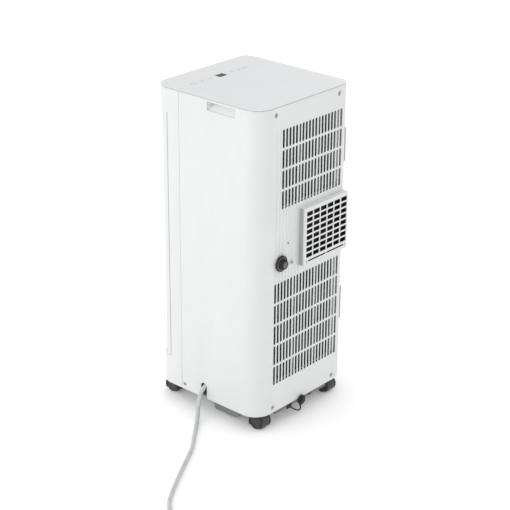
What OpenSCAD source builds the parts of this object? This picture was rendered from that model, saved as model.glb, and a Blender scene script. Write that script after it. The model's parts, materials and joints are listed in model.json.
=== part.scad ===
// Slim portable air conditioner on casters, millimetres, +Z up.
// Origin: on the floor, under the middle of the whole machine. The front faces -Y.

/* [Casing] */
// Width of the casing, side to side
body_w = 278; // [276:1:282]
// Depth of the casing, front to back
body_d = 276; // [274:1:280]
// Height of the seam between the walls and the top cover
top_z = 690; // [688:1:694]
// Height of the casing's lower edge above the floor
base_z = 34; // [34:0.5:35]
// Radius of the casing's upright corner between the back and the cord's side
corner_r = 39; // [38:0.5:40]
// Radius of the casing's upright corner on the far side of the back
far_r = 28; // [27:0.5:30]
// Radius of the casing's upright corners at the front
front_r = 29; // [28:0.5:32]
// Thickness of the moulded walls
wall = 2.5; // [2.2:0.1:2.7]
// How far the top cover rises from its side edges to its middle
crown = 2.6; // [2:0.1:3]

/* [Front] */
// Where the front shell meets the rear shell, from the casing's middle
seam_y = -73; // [-76:1:-70]
// How deep the front is stepped back behind its panel
recess = 7.4; // [7:0.1:8]
// Lower edge of the head
head_z = 640; // [636:1:644]
// Upper edge of the foot
foot_z = 100; // [96:1:104]
// Widest opening of the outlet flap, in degrees
flap_open = 75; // [60:1:75]

/* [Grilles] */
// Distance between neighbouring slots
slot_pitch = 9.75; // [9.5:0.05:9.75]
// Width of a slot
slot_w = 6.2; // [5:0.1:6.4]
// Depth of the shallow flutes between the grilles
flute_depth = 0.7; // [0.4:0.1:1]

/* [Exhaust outlet] */
// How far the outlet collar stands out of the back
boss_out = 14; // [12:0.5:14]
// Cells across the outlet's grid
grid_cols = 6; // [4:1:7]
// Cells down the outlet's grid
grid_rows = 8; // [6:1:9]

/* [Drains] */
// Radius of the rubber plug's flange
plug_r = 16.5; // [16:0.5:18]
// Radius of the drain's bore
drain_bore_r = 8; // [7:0.5:8]

/* [Casters] */
// Radius of a caster wheel
wheel_r = 15; // [14:0.5:15]
// Distance of the casters' stems from the middle, sideways
caster_x = 107; // [105:1:107]
// Distance of the casters' stems from the middle, front and back
caster_y = 120; // [118:1:120]

/* [Cord] */
// Diameter of the mains cord
cord_d = 9; // [8:0.5:9]
// Middle diameter of the stored coil
coil_d = 96; // [90:1:96]

/* [Hidden] */
$fn = 64;

// Colours
white = "#f2f2f0";
light_grey = "#e2e3e2";
pan_grey = "#8b8e90";
dark = "#3c3d3f";
black = "#1c1c1e";
copper = "#b5714a";
steel = "#b9bcc0";
alu = "#c9ccce";

// The collar stands out at the back only, so the casing sits half of that forward.
body_y = -boss_out / 2;
half_w = body_w / 2;
half_d = body_d / 2;
lid_z = top_z + 1;
lid_edge = 0.8;
lid_top = lid_z + lid_edge + crown;

// Front opening for the cold air
outlet_x = 104;
outlet_z0 = 556;
outlet_z1 = 628;
panel_edge_y = -121;
step_y = -106;
strip_in = 2.2;
panel_in = 4;
gap = 1.8;
seam_gap = 0.8;
groove_depth = 2;
grille_wall = 1;
flap_y = -half_d + panel_in + 0.8;
flap_pin_y = flap_y + 3.6;
flap_pin_z = outlet_z0 + 7;

// Slots
upper_cols = 19;
upper_rows = 4;
upper_z = 478.5;
upper_row_step = 42;
upper_slot_h = 38.4;
lower_cols = 21;
lower_rows = 5;
lower_z = 97;
lower_row_step = 46;
lower_slot_h = 42.4;
slot_right_x = -107.6;
flute_w = 4.4;

// Exhaust outlet
boss_x0 = -120;
boss_x1 = 17;
boss_z0 = 343;
boss_z1 = 467;
grid_x0 = -118.4;
grid_x1 = 11.2;
grid_z0 = 357.5;
grid_z1 = 460;
grid_bar_x = 3;
grid_bar_z = 3.6;
grid_t = 1.2;

// Filters
filter_t = 5.4;
filter_y0 = half_d - wall - 13.6;
filter_gap = 0.4;
filter_end_x = -112;
upper_f = [upper_z - 3, upper_z + 167, 80];
lower_f = [lower_z - 4, lower_z + 229, 98];
upper_bars = [-106, -49.1, 9.4, 74];
lower_bars = [-106, -49.1, 19.15, 94];
coil_back = filter_y0 - 2;

// Drains
upper_drain = [73, 365];
lower_drain = [2, 29.5];

// Tether of the lower plug: from the plug's edge down and across to its anchor
tether_d = 3.2;
tether_route = [
    [5.8, 134.4, 15.9], [6.4, 136, 13], [8.8, 136.8, 10.6], [12, 136.6, 9.6], [16, 135.3, 10.4],
    [21, 133.6, 13.4], [26, 131.6, 17.4], [30, 129.2, 21], [34, 127, 23.1]
];

// Casters
trail = 3;
hood_r = 17.4;
hood_half = 15;
caster_spots = [
    [caster_x, caster_y], [-caster_x, caster_y],
    [caster_x, -caster_y], [-caster_x, -caster_y]
];

// Side handles
handle_y0 = 3;
handle_y1 = 77;
handle_z0 = 668;
handle_z1 = 686.4;
cup_depth = 26;

// Controls
display_c = [14, -75.2];
display_size = [21.5, 16];
key_r = 6.4;
key_xs = [94, 70, 46, -18, -38, -58];
key_y = -75.2;

// Inside
deck_z = 470;
cold_axis = [10, 0, 565];
cold_r = 72;
hot_axis = [-48, 20, 402];
hot_r = 62;
slinger_axis = [-30, 0, 108];
compressor_c = [44, -38];
feet_spots = [[-48, -50], [48, -50], [0, 64]];
screw_spots = [[91, 675.8], [-100, 675.8], [91, 46], [-100, 46]];
well_r = 5.2;
well_depth = 5;
side_well_r = 4.6;
side_well_depth = 3;
pan_screw_xs = [91, -100];
screw_low_z = 46;
side_screw = [-66, 46];
notch_y = -10.8;
notch_r = 8.2;

// Cord: where it leaves the gland, and the points that it follows to the coil
gland = [119, -15.5, 66];
route = [
    [119, -15.5, 66], [125, -15.5, 65.5], [131, -15.5, 64], [137, -15.3, 61],
    [143, -14.5, 56.5], [148, -13, 50.5], [151.5, -12, 43.5], [154, -11, 36],
    [156.5, -10, 28.5], [160, -8, 21], [164.5, -5, 14.5], [170.5, 0, 9],
    [178, 6, 5.6], [187, 13, 4.6], [198, 21, 4.6], [212, 32, 4.6],
    [230, 45, 4.6], [248, 58, 4.6], [266, 70, 4.6], [284, 81, 4.6],
    [304, 92.5, 4.6], [324, 104, 4.6], [346, 116.5, 4.6], [368, 129.5, 4.6],
    [390, 142.5, 4.6], [410, 155, 4.6], [430, 168.5, 4.6], [446, 181, 4.6],
    [458, 195.5, 4.6], [466.5, 212, 4.6], [471, 230, 4.6], [472, 247, 4.6], [471, 259, 4.6]
];
coil_turns_wide = 2;
coil_layers = 2;
coil_c = [522, 283];
plug_c = [545, 309];
plug_body_r = 18;

// ---------- building blocks ----------

// The casing's plan, drawn in by inset
module outline(inset = 0) {
    rf = front_r - inset;
    rb = corner_r - inset;
    rl = far_r - inset;
    w = half_w - inset;
    d = half_d - inset;
    difference() {
        translate([-w, -d]) square([2 * w, 2 * d]);
        translate([-w, -d]) square(2 * rf, center = true);
        translate([w, -d]) square(2 * rf, center = true);
        translate([w, d]) square(2 * rb, center = true);
        translate([-w, d]) square(2 * rl, center = true);
    }
    for (x = [-1, 1])
        translate([x * (w - rf), -d + rf]) circle(rf);
    translate([w - rb, d - rb]) circle(rb);
    translate([-w + rl, d - rl]) circle(rl);
}

module prism(inset, z0, z1) {
    translate([0, 0, z0]) linear_extrude(z1 - z0) outline(inset);
}

module block(lo, hi) {
    translate(lo) cube(hi - lo);
}

module rod_x(r, x0, x1, y, z) {
    translate([x0, y, z]) rotate([0, 90, 0]) cylinder(r = r, h = x1 - x0);
}

module rod_y(r, y0, y1, x, z) {
    translate([x, y0, z]) rotate([-90, 0, 0]) cylinder(r = r, h = y1 - y0);
}

module rod_z(r, z0, z1, x, y) {
    translate([x, y, z0]) cylinder(r = r, h = z1 - z0);
}

// Everything that belongs to the casing is drawn from the casing's own middle
module at_body() {
    translate([0, body_y, 0]) children();
}

// A profile in Y and Z, drawn from x0 to x1
module along_x(x0, x1, points) {
    translate([x0, 0, 0]) rotate([90, 0, 90]) linear_extrude(x1 - x0) polygon(points);
}

// A profile in X and Z, drawn from y0 to y1
module along_y(y0, y1, points) {
    translate([0, y1, 0]) rotate([90, 0, 0]) linear_extrude(y1 - y0) polygon(points);
}

// An upright slot with round ends, cut through the back
module slot(x, z, h, w = slot_w) {
    r = w / 2;
    top = [for (a = [0:36:180]) [x + r * cos(a), z + h - r + r * sin(a)]];
    low = [for (a = [180:36:360]) [x + r * cos(a), z + r + r * sin(a)]];
    along_y(half_d - 14, half_d + 1, concat(top, low));
}

module slot_field(cols, rows, z0, step, h) {
    for (c = [0:cols - 1], r = [0:rows - 1])
        slot(slot_right_x + c * slot_pitch, z0 + r * step, h);
}

function slot_x(col) = slot_right_x + col * slot_pitch;

// ---------- casing ----------

// The casing's outer form, stepped back at the front between foot and head
module front_form(inset, z0, z1) {
    difference() {
        prism(inset, z0, z1);
        front_step(step_y, strip_in, inset, 0);
        front_step(panel_edge_y, recess, inset, gap);
    }
}

// What is cut from the front before y, down to a given depth
module front_step(y, depth, inset, edge) {
    difference() {
        block(
            [-half_w - 1, -half_d - 1, foot_z + edge - inset],
            [half_w + 1, y + inset, head_z - edge + inset]
        );
        prism(depth + inset, foot_z - inset - 1, head_z + inset + 1);
    }
}

module front_shell() {
    color(white) at_body() difference() {
        intersection() {
            front_form(0, base_z, top_z);
            block([-half_w - 1, -half_d - 1, base_z], [half_w + 1, seam_y - seam_gap, top_z]);
        }
        front_form(wall, base_z - 1, top_z + 1);
        block(
            [-outlet_x - 0.4, -half_d - 1, outlet_z0 - 0.4],
            [outlet_x + 0.4, -half_d + 30, outlet_z1 + 0.4]
        );
        // shadow line along each side, behind the step
        for (s = [-1, 1])
            block(
                [s * half_w - groove_depth, step_y, foot_z],
                [s * half_w + groove_depth, step_y + gap, head_z]
            );
    }
}

module front_panel() {
    color(white) at_body() difference() {
        intersection() {
            prism(panel_in, foot_z + 2 * gap, head_z - 2 * gap);
            block([-half_w, -half_d, foot_z], [half_w, panel_edge_y - gap, head_z]);
        }
        prism(recess - 0.1, foot_z, head_z);
        block(
            [-outlet_x, -half_d - 1, outlet_z0],
            [outlet_x, -half_d + 30, outlet_z1]
        );
    }
}

// A rod along X through both sides, from a to b outside the casing's middle
module both_sides(r, a, b, y, z) {
    rod_x(r, a, b, y, z);
    rod_x(r, -b, -a, y, z);
}

module screw_wells() {
    for (p = screw_spots)
        rod_y(well_r + 2, half_d - well_depth - 2.5, half_d - wall / 2, p[0], p[1]);
    both_sides(
        side_well_r + 2, half_w - side_well_depth - 2.5, half_w - wall / 2,
        side_screw[0], side_screw[1]
    );
}

module screw_bores() {
    for (p = screw_spots) {
        rod_y(well_r, half_d - well_depth, half_d + 1, p[0], p[1]);
        rod_y(2.3, half_d - well_depth - 4, half_d + 1, p[0], p[1]);
    }
    both_sides(side_well_r, half_w - side_well_depth, half_w + 1, side_screw[0], side_screw[1]);
    both_sides(2.3, half_w - side_well_depth - 4, half_w + 1, side_screw[0], side_screw[1]);
}

module filter_slot(z0, z1) {
    block(
        [-half_w - 5, filter_y0 - filter_gap, z0 - filter_gap],
        [filter_end_x, filter_y0 + filter_t + filter_gap, z1 + filter_gap]
    );
}

module grille_pocket(cols, z0, h) {
    block(
        [slot_right_x - slot_w, half_d - 20, z0 - 1],
        [slot_x(cols - 1) + slot_w, half_d - grille_wall, z0 + h - 1]
    );
}

module flutes() {
    y = half_d - flute_depth;
    // the band between the grilles, left of the outlet
    for (c = [13:20])
        block([slot_x(c) - flute_w / 2, y, 324], [slot_x(c) + flute_w / 2, half_d + 1, 478]);
    // two more beside the upper grille
    for (c = [19:20])
        block([slot_x(c) - flute_w / 2, y, 478.2], [slot_x(c) + flute_w / 2, half_d + 1, 645]);
}

module rear_shell() {
    color(light_grey) at_body() difference() {
        union() {
            difference() {
                intersection() {
                    prism(0, base_z, top_z);
                    block(
                        [-half_w - 1, seam_y, base_z - 1],
                        [half_w + 1, half_d + 1, top_z + 1]
                    );
                }
                prism(wall, base_z - 1, top_z + 1);
                // thinner behind the grilles
                grille_pocket(upper_cols, upper_z, upper_row_step * upper_rows);
                grille_pocket(lower_cols, lower_z, lower_row_step * lower_rows);
            }
            screw_wells();
        }
        screw_bores();
        slot_field(upper_cols, upper_rows, upper_z, upper_row_step, upper_slot_h);
        slot_field(lower_cols, lower_rows, lower_z, lower_row_step, lower_slot_h);
        flutes();
        filter_slot(upper_z - 3, upper_z + 167);
        filter_slot(lower_z - 4, lower_z + 229);
        // way through for the exhaust collar
        block(
            [boss_x0 + 5, half_d - 20, boss_z0 + 4],
            [boss_x1 - 3, half_d + 1, boss_z1 - 4]
        );
        // drains
        rod_y(drain_bore_r + 3.2, half_d - 10, half_d + 1, upper_drain[0], upper_drain[1]);
        rod_y(9.4, half_d - 10, half_d + 1, lower_drain[0], lower_drain[1]);
        // small hole beside the outlet
        rod_y(2.2, half_d - 10, half_d + 1, 50, 401);
        rod_y(1.6, half_d - 10, half_d + 1, 40, 357);
        // hand holds
        for (s = [-1, 1])
            block(
                [s * half_w - 6, handle_y0, handle_z0],
                [s * half_w + 6, handle_y1, handle_z1]
            );
        // way out for the cord
        block([half_w - 8, notch_y - notch_r, base_z - 1], [half_w + 1, notch_y + notch_r, 60]);
        rod_x(notch_r, half_w - 8, half_w + 1, notch_y, 60);
    }
}

module top_cover() {
    n = 6;
    band = 20;
    rise = [for (i = [0:n]) let (t = i / n) [band * t, lid_edge + crown * sin(90 * t)]];
    right = [for (p = rise) [half_w - p[0], lid_z + p[1]]];
    left = [for (i = [n:-1:0]) [-half_w + rise[i][0], lid_z + rise[i][1]]];
    color(light_grey) at_body() difference() {
        union() {
            intersection() {
                prism(0, lid_z, lid_top + 1);
                along_y(-half_d - 1, half_d + 1, concat(
                    [[-half_w, lid_z - 1], [half_w, lid_z - 1]], right, left
                ));
            }
            // skirt that drops inside the walls
            difference() {
                prism(wall + 0.4, lid_z - 2.2, lid_z + 0.1);
                prism(wall + 2.8, lid_z - 3, lid_z + 1);
            }
        }
        // hollow under the crown, except where the keys sit
        prism(26, lid_z - 1, lid_z + 1.2);
        translate([display_c[0], display_c[1], lid_z])
            cube([display_size[0] + 0.4, display_size[1] + 0.4, 20], center = true);
        for (x = key_xs)
            rod_z(key_r + 0.2, lid_z - 2, lid_top + 1, x, key_y);
    }
}

module display_window() {
    color(black) at_body() {
        block(
            [display_c[0] - display_size[0] / 2, display_c[1] - display_size[1] / 2, lid_z - 1],
            [display_c[0] + display_size[0] / 2, display_c[1] + display_size[1] / 2, lid_top - 0.2]
        );
    }
}

module key(i) {
    color(light_grey) at_body() {
        rod_z(key_r, lid_z + 0.6, lid_top - 0.1, key_xs[i], key_y);
        rod_z(2, lid_z - 3.2, lid_z + 0.7, key_xs[i], key_y);
    }
}

module control_board() {
    color("#2f6b4a") at_body() {
        block([-74, -90, lid_z - 9.5], [108, -58, lid_z - 7.9]);
        for (x = key_xs)
            block([x - 3, key_y - 3, lid_z - 8], [x + 3, key_y + 3, lid_z - 4.4]);
        block(
            [display_c[0] - 10, display_c[1] - 7, lid_z - 8],
            [display_c[0] + 10, display_c[1] + 7, lid_z - 1.2]
        );
    }
}

module carry_cup() {
    x = half_w - wall - 0.3;
    difference() {
        along_y(handle_y0 - 2.4, handle_y1 + 2.4, [
            [x, handle_z0 - 3], [x, handle_z1 + 1.5], [x - cup_depth, handle_z1 + 1.5],
            [x - cup_depth, handle_z0 + 11], [x - 17.5, handle_z0 + 11]
        ]);
        along_y(handle_y0, handle_y1, [
            [x + 1, handle_z0], [x + 1, handle_z1], [x - cup_depth + 2.4, handle_z1],
            [x - cup_depth + 2.4, handle_z0 + 13.4], [x - 19, handle_z0 + 13.4], [x - 0.5, handle_z0]
        ]);
    }
}

module carry_cups() {
    color(light_grey) at_body() {
        carry_cup();
        mirror([1, 0, 0]) carry_cup();
    }
}

// ---------- cold air outlet ----------

module outlet_frame() {
    x = outlet_x - 0.4;
    color(white) at_body() difference() {
        union() {
            difference() {
                block([-x, flap_y - 0.4, outlet_z0 + 0.4], [x, flap_y + 44, outlet_z1 - 0.4]);
                block(
                    [-x + 2.4, flap_y - 1, outlet_z0 + 2.6],
                    [x - 2.4, flap_y + 45, outlet_z1 - 2.6]
                );
            }
            // fixed guide vanes
            for (i = [-3:3])
                block(
                    [i * 26 - 0.8, flap_y + 18, outlet_z0 + 2],
                    [i * 26 + 0.8, flap_y + 42, outlet_z1 - 2]
                );
        }
        rod_x(2.05, -outlet_x - 1, outlet_x + 1, flap_pin_y, flap_pin_z);
    }
}

module outlet_flap() {
    x = outlet_x - 3.4;
    color(white) at_body() {
        block([-x, flap_y, outlet_z0 + 5], [x, flap_y + 2.4, outlet_z1 - 3.2]);
        for (s = [-1, 1])
            block(
                [s * (x - 2) - 1.5, flap_y + 2, flap_pin_z - 2],
                [s * (x - 2) + 1.5, flap_pin_y + 2.6, flap_pin_z + 4]
            );
        rod_x(2, -outlet_x + 0.7, outlet_x - 0.7, flap_pin_y, flap_pin_z);
    }
}

module flap_motor() {
    color(steel) at_body() rod_x(11, outlet_x, outlet_x + 12, flap_pin_y + 22, flap_pin_z + 12);
}

// ---------- base ----------

module base_pan() {
    color(pan_grey) at_body() difference() {
        union() {
            prism(wall + 0.6, 36, 39);
            difference() {
                prism(wall + 0.6, 36, 56);
                prism(wall + 3, 35, 57);
            }
            // belly between the casters
            block([-80, -half_d + 8, 25], [80, half_d - 6, 36.5]);
            // lip along the back edge
            block([-80, half_d - 12, 28], [80, half_d - 0.8, base_z - 0.4]);
            // skids that keep it from tipping
            for (s = [-1, 1])
                along_x(s > 0 ? 108 : -123, s > 0 ? 123 : -108, [
                    [1, 36.5], [6, 9.5], [9, 8], [64, 8], [68, 9.5], [88, 36.5]
                ]);
            // caster sockets
            for (x = [-1, 1], y = [-1, 1])
                rod_z(8.5, 36, 58, x * caster_x, y * caster_y);
            // drain spigot
            rod_y(8.6, half_d - 24, half_d + 1.5, lower_drain[0], lower_drain[1]);
            // posts that take the casing's lower screws
            for (x = pan_screw_xs)
                block([x - 5, half_d - 24, 38], [x + 5, half_d - well_depth - 2.7, screw_low_z + 6]);
            for (s = [-1, 1])
                block(
                    [s * 126 - 7, side_screw[0] - 5, 38],
                    [s * 126 + 7, side_screw[0] + 5, side_screw[1] + 6]
                );
            // bulkhead behind the cord's way out
            block([106, -24, 38], [109, 6, 84]);
        }
        for (x = [-1, 1], y = [-1, 1])
            rod_z(4.05, 30, 54, x * caster_x, y * caster_y);
        rod_y(6, half_d - 30, half_d + 2, lower_drain[0], lower_drain[1]);
        rod_x(8.05, 105, 110, gland[1] - body_y, gland[2]);
        for (x = pan_screw_xs) {
            rod_y(well_r + 2.4, half_d - well_depth - 2.7, half_d, x, screw_low_z);
            rod_y(2.2, half_d - 24, half_d, x, screw_low_z);
        }
        both_sides(side_well_r + 2.4, half_w - side_well_depth - 2.7, half_w, side_screw[0], side_screw[1]);
        both_sides(2.2, half_w - 20, half_w, side_screw[0], side_screw[1]);
        // way for the cord through the rim
        block([half_w - 7, -20, 39], [half_w, -2, 57]);
    }
}

// ---------- casters ----------

module caster_hood(i) {
    c = caster_spots[i];
    color(dark) at_body() translate([c[0], c[1], 0]) {
        rod_z(4, wheel_r + 12, 53, 0, 0);
        difference() {
            rod_x(hood_r, -hood_half, hood_half, -trail, wheel_r);
            both_sides(wheel_r + 0.9, 3.6, hood_half + 1, -trail, wheel_r);
            block([-20, -30, -10], [20, 30, wheel_r - 9]);
            block([-20, -trail, -10], [20, 30, wheel_r + 2]);
            rod_x(2.55, -5, 5, -trail, wheel_r);
        }
    }
}

module caster_wheels(i) {
    c = caster_spots[i];
    color(dark) at_body() translate([c[0], c[1], 0]) {
        both_sides(wheel_r, 4.1, 14.4, -trail, wheel_r);
        rod_x(2.5, -5, 5, -trail, wheel_r);
    }
}

// ---------- exhaust outlet ----------

module exhaust_collar() {
    color(light_grey) at_body() difference() {
        union() {
            block([boss_x0, half_d + 0.2, boss_z0], [boss_x1, half_d + boss_out, boss_z1]);
            // throat that passes through the back wall
            block(
                [boss_x0 + 5.4, half_d - 9, boss_z0 + 4.4],
                [boss_x1 - 3.4, half_d + 1, boss_z1 - 4.4]
            );
        }
        block(
            [grid_x0 + 0.4, half_d - 10, grid_z0 - 11],
            [grid_x1, half_d + boss_out - 2.2, grid_z1 + 1.6]
        );
        block(
            [grid_x0, half_d + boss_out - 4, grid_z0 - 11],
            [grid_x1, half_d + boss_out + 1, grid_z1]
        );
    }
}

module exhaust_grille() {
    px = (grid_x1 - grid_x0) / grid_cols;
    pz = (grid_z1 - grid_z0) / grid_rows;
    color(light_grey) at_body() difference() {
        block(
            [grid_x0 + 0.1, half_d + boss_out - grid_t, grid_z0 - 10.9],
            [grid_x1 - 0.1, half_d + boss_out, grid_z1 - 0.1]
        );
        for (c = [0:grid_cols - 1], r = [0:grid_rows - 1])
            translate([grid_x0 + c * px + grid_bar_x / 2, half_d, grid_z0 + r * pz + grid_bar_z / 2])
                cube([px - grid_bar_x, boss_out + 1, pz - grid_bar_z]);
        // drip slots under the last row
        for (x = [grid_x0 + 8, (grid_x0 + grid_x1) / 2 + 1.5])
            block([x, half_d, grid_z0 - 7.6], [x + px * 3 - 9.5, half_d + boss_out + 1, grid_z0 - 4.2]);
        for (x = [grid_x0 + 2, grid_x1 - 4.6])
            block([x, half_d, grid_z0 - 7.6], [x + 2.6, half_d + boss_out + 1, grid_z0 - 4.2]);
    }
}

// ---------- filters ----------

module filter_frame(z0, z1, x1, bars, tab0, tab1) {
    color(light_grey) at_body() {
        difference() {
            union() {
                block([filter_end_x - 2, filter_y0, z0], [x1, filter_y0 + filter_t, z1]);
                // end strip that closes the slot in the corner
                intersection() {
                    prism(0, z0, z1);
                    block([-half_w, filter_y0, z0], [filter_end_x, filter_y0 + filter_t, z1]);
                }
            }
            for (i = [0:len(bars) - 2])
                block(
                    [bars[i] + 2, filter_y0 - 1, z0 + 2.4],
                    [bars[i + 1] - 2, filter_y0 + filter_t + 1, z1 - 2]
                );
        }
        // pull tab
        block([-half_w + 0.6, filter_y0 + 0.8, tab0], [-half_w + 14, filter_y0 + filter_t - 0.8, tab1]);
    }
}

module filter_mesh(z0, z1, bars) {
    color("#5a5d60") at_body()
        for (i = [0:len(bars) - 2])
            block(
                [bars[i] + 2.1, filter_y0 + 2.3, z0 + 2.5],
                [bars[i + 1] - 2.1, filter_y0 + 3.3, z1 - 2.1]
            );
}

module upper_filter() {
    filter_frame(upper_f[0], upper_f[1], upper_f[2], upper_bars, 521, 592);
}

module upper_filter_mesh() {
    filter_mesh(upper_f[0], upper_f[1], upper_bars);
}

module lower_filter() {
    filter_frame(lower_f[0], lower_f[1], lower_f[2], lower_bars, 165, 240);
}

module lower_filter_mesh() {
    filter_mesh(lower_f[0], lower_f[1], lower_bars);
}

// ---------- refrigeration ----------

module fin_pack(x0, x1, y0, y1, z0, z1) {
    // gathered fins: one block with a tooth every few fins along its faces
    block([x0, y0 + 2, z0], [x1, y1 - 2, z1]);
    n = 20;
    p = (x1 - x0) / n;
    for (i = [0:n - 1])
        block([x0 + (i + 0.2) * p, y0, z0], [x0 + (i + 0.6) * p, y1, z1]);
}

module hairpins(x, y0, y1, z0, z1, n, side) {
    p = (z1 - z0) / n;
    for (i = [0:n - 1])
        translate([x, 0, z0 + (i + 0.5) * p]) {
            for (y = [y0, y1])
                rod_x(3.5, side > 0 ? 0 : -10, side > 0 ? 10 : 0, y, 0);
            rod_y(3.5, y0, y1, side * 10, 0);
            for (y = [y0, y1])
                translate([side * 10, y, 0]) sphere(3.5);
        }
}

module evaporator_fins() {
    color(alu) at_body() fin_pack(-100, 84, coil_back - 26, coil_back, deck_z + 12, 648);
}

module evaporator_tubes() {
    color(copper) at_body() {
        hairpins(84.3, coil_back - 19, coil_back - 7, deck_z + 14, 646, 6, 1);
        hairpins(-100.3, coil_back - 19, coil_back - 7, deck_z + 14, 646, 6, -1);
    }
}

module condenser_fins() {
    color(alu) at_body() fin_pack(-100, 98, coil_back - 34, coil_back, 66, 326);
}

module condenser_tubes() {
    color(copper) at_body() {
        hairpins(98.3, coil_back - 27, coil_back - 8, 68, 324, 9, 1);
        hairpins(-100.3, coil_back - 27, coil_back - 8, 68, 324, 9, -1);
    }
}

// A blower wheel about an upright axis: a hub disc, a rim ring and blades between them
module impeller(r, h) {
    difference() {
        cylinder(r = r, h = 2.5);
        translate([0, 0, -1]) cylinder(r = 3.05, h = 5);
    }
    translate([0, 0, h - 3]) difference() {
        cylinder(r = r, h = 3);
        translate([0, 0, -1]) cylinder(r = r - 10, h = 5);
    }
    for (a = [0:15:345])
        rotate([0, 0, a]) translate([r - 9, -1, 2]) cube([8, 2, h - 4]);
    difference() {
        cylinder(r = 9, h = 14);
        translate([0, 0, -1]) cylinder(r = 3.05, h = 16);
    }
}

module cold_place() {
    at_body() translate(cold_axis) rotate([-90, 0, 0]) children();
}

module cold_impeller() {
    color(dark) cold_place() impeller(cold_r, 46);
}

module cold_motor() {
    color(steel) cold_place() {
        translate([0, 0, -44]) cylinder(r = 34, h = 34);
        translate([0, 0, -11]) cylinder(r = 3, h = 24);
    }
}

module cold_scroll() {
    color("#d9dadb") cold_place() difference() {
        union() {
            translate([0, 0, -7]) cylinder(r = cold_r + 12, h = 60);
            translate([-cold_r - 12, -60, -7]) cube([2 * cold_r + 24, 60, 60]);
        }
        translate([0, 0, -4.6]) cylinder(r = cold_r + 9.6, h = 55.2);
        translate([-cold_r - 9.6, -57, -4.6]) cube([2 * cold_r + 19.2, 56, 55.2]);
        // inlet from the coil
        translate([0, 0, 40]) cylinder(r = cold_r - 12, h = 30);
        // motor shaft
        translate([0, 0, -10]) cylinder(r = 6, h = 20);
        // mouth towards the front outlet
        translate([-cold_r - 9.6, -57, -10]) cube([2 * cold_r + 19.2, 34, 10]);
    }
}

module hot_place() {
    at_body() translate(hot_axis) children();
}

module hot_impeller() {
    color(dark) hot_place() translate([0, 0, -26]) impeller(hot_r, 50);
}

module hot_motor() {
    color(steel) hot_place() {
        translate([0, 0, -97]) cylinder(r = 32, h = 44);
        translate([0, 0, -54]) cylinder(r = 3, h = 41);
    }
}

module hot_scroll() {
    color("#d9dadb") hot_place() difference() {
        union() {
            translate([0, 0, -36]) cylinder(r = hot_r + 10, h = 72);
            translate([boss_x0 - hot_axis[0] + 6, 0, -52])
                cube([boss_x1 - boss_x0 - 12, half_d - hot_axis[1] - 9.6, 112]);
        }
        translate([0, 0, -33.6]) cylinder(r = hot_r + 7.6, h = 67.2);
        translate([boss_x0 - hot_axis[0] + 8.4, 2, -49.6])
            cube([boss_x1 - boss_x0 - 16.8, half_d, 107.2]);
        translate([0, 0, 20]) cylinder(r = hot_r - 14, h = 60);
        translate([0, 0, -60]) cylinder(r = 6, h = 40);
    }
}

module slinger_wheel() {
    color(dark) at_body() translate([slinger_axis[0], 76, slinger_axis[2]]) rotate([90, 0, 0]) {
        difference() {
            union() {
                cylinder(r = 42, h = 2);
                cylinder(r = 8, h = 14);
                for (a = [0:30:330])
                    rotate([0, 0, a]) translate([30, -1, 0]) cube([11, 2, 8]);
            }
            translate([0, 0, 4]) cylinder(r = 2.55, h = 12);
        }
    }
}

module slinger_motor() {
    color(steel) at_body() {
        rod_y(24, 22, 54, slinger_axis[0], slinger_axis[2]);
        rod_y(2.5, 53, 71.9, slinger_axis[0], slinger_axis[2]);
        // stand on the pan's floor
        block([slinger_axis[0] - 14, 24, 39], [slinger_axis[0] + 14, 52, 94]);
    }
}

module compressor() {
    color(black) at_body() translate([compressor_c[0], compressor_c[1], 0]) {
        rod_z(50, 66, 196, 0, 0);
        translate([0, 0, 196]) cylinder(r1 = 50, r2 = 26, h = 20);
        rod_z(4.5, 215, 232, 12, 0);
        // mounting plate
        difference() {
            block([-58, -60, 62], [58, 74, 66.5]);
            for (p = feet_spots)
                rod_z(7.4, 60, 70, p[0], p[1]);
        }
    }
}

module compressor_feet() {
    color("#2a2a2c") at_body() translate([compressor_c[0], compressor_c[1], 0])
        for (p = feet_spots) {
            rod_z(10, 39, 61.8, p[0], p[1]);
            rod_z(7.2, 61.5, 67, p[0], p[1]);
            rod_z(10, 66.7, 70, p[0], p[1]);
        }
}

module accumulator() {
    color(black) at_body() translate([compressor_c[0] - 72, compressor_c[1] - 20, 0]) {
        rod_z(18, 80, 180, 0, 0);
        rod_z(5, 179, 230, 0, 0);
        // strap to the compressor's shell
        block([16, -2, 120], [25.4, 2, 128]);
    }
}

module refrigerant_lines() {
    x0 = compressor_c[0] + 12;
    y0 = compressor_c[1];
    color(copper) at_body() {
        // discharge line up and over to the condenser
        rod_z(4, 232.2, 262, x0, y0);
        translate([x0, y0, 262]) sphere(4);
        rod_x(4, x0, 120, y0, 262);
        translate([120, y0, 262]) sphere(4);
        rod_y(4, y0, 60, 120, 262);
        // suction line from the evaporator down to the accumulator
        rod_z(4.5, 230.2, 300, compressor_c[0] - 72, y0 - 20);
        translate([compressor_c[0] - 72, y0 - 20, 300]) sphere(4.5);
        rod_x(4.5, compressor_c[0] - 72, 100, y0 - 20, 300);
        translate([100, y0 - 20, 300]) sphere(4.5);
        rod_z(4.5, 300, 466, 100, y0 - 20);
        // filter drier
        rod_z(9, 290, 360, 122, 20);
    }
}

// ---------- decks, electrics ----------

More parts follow.
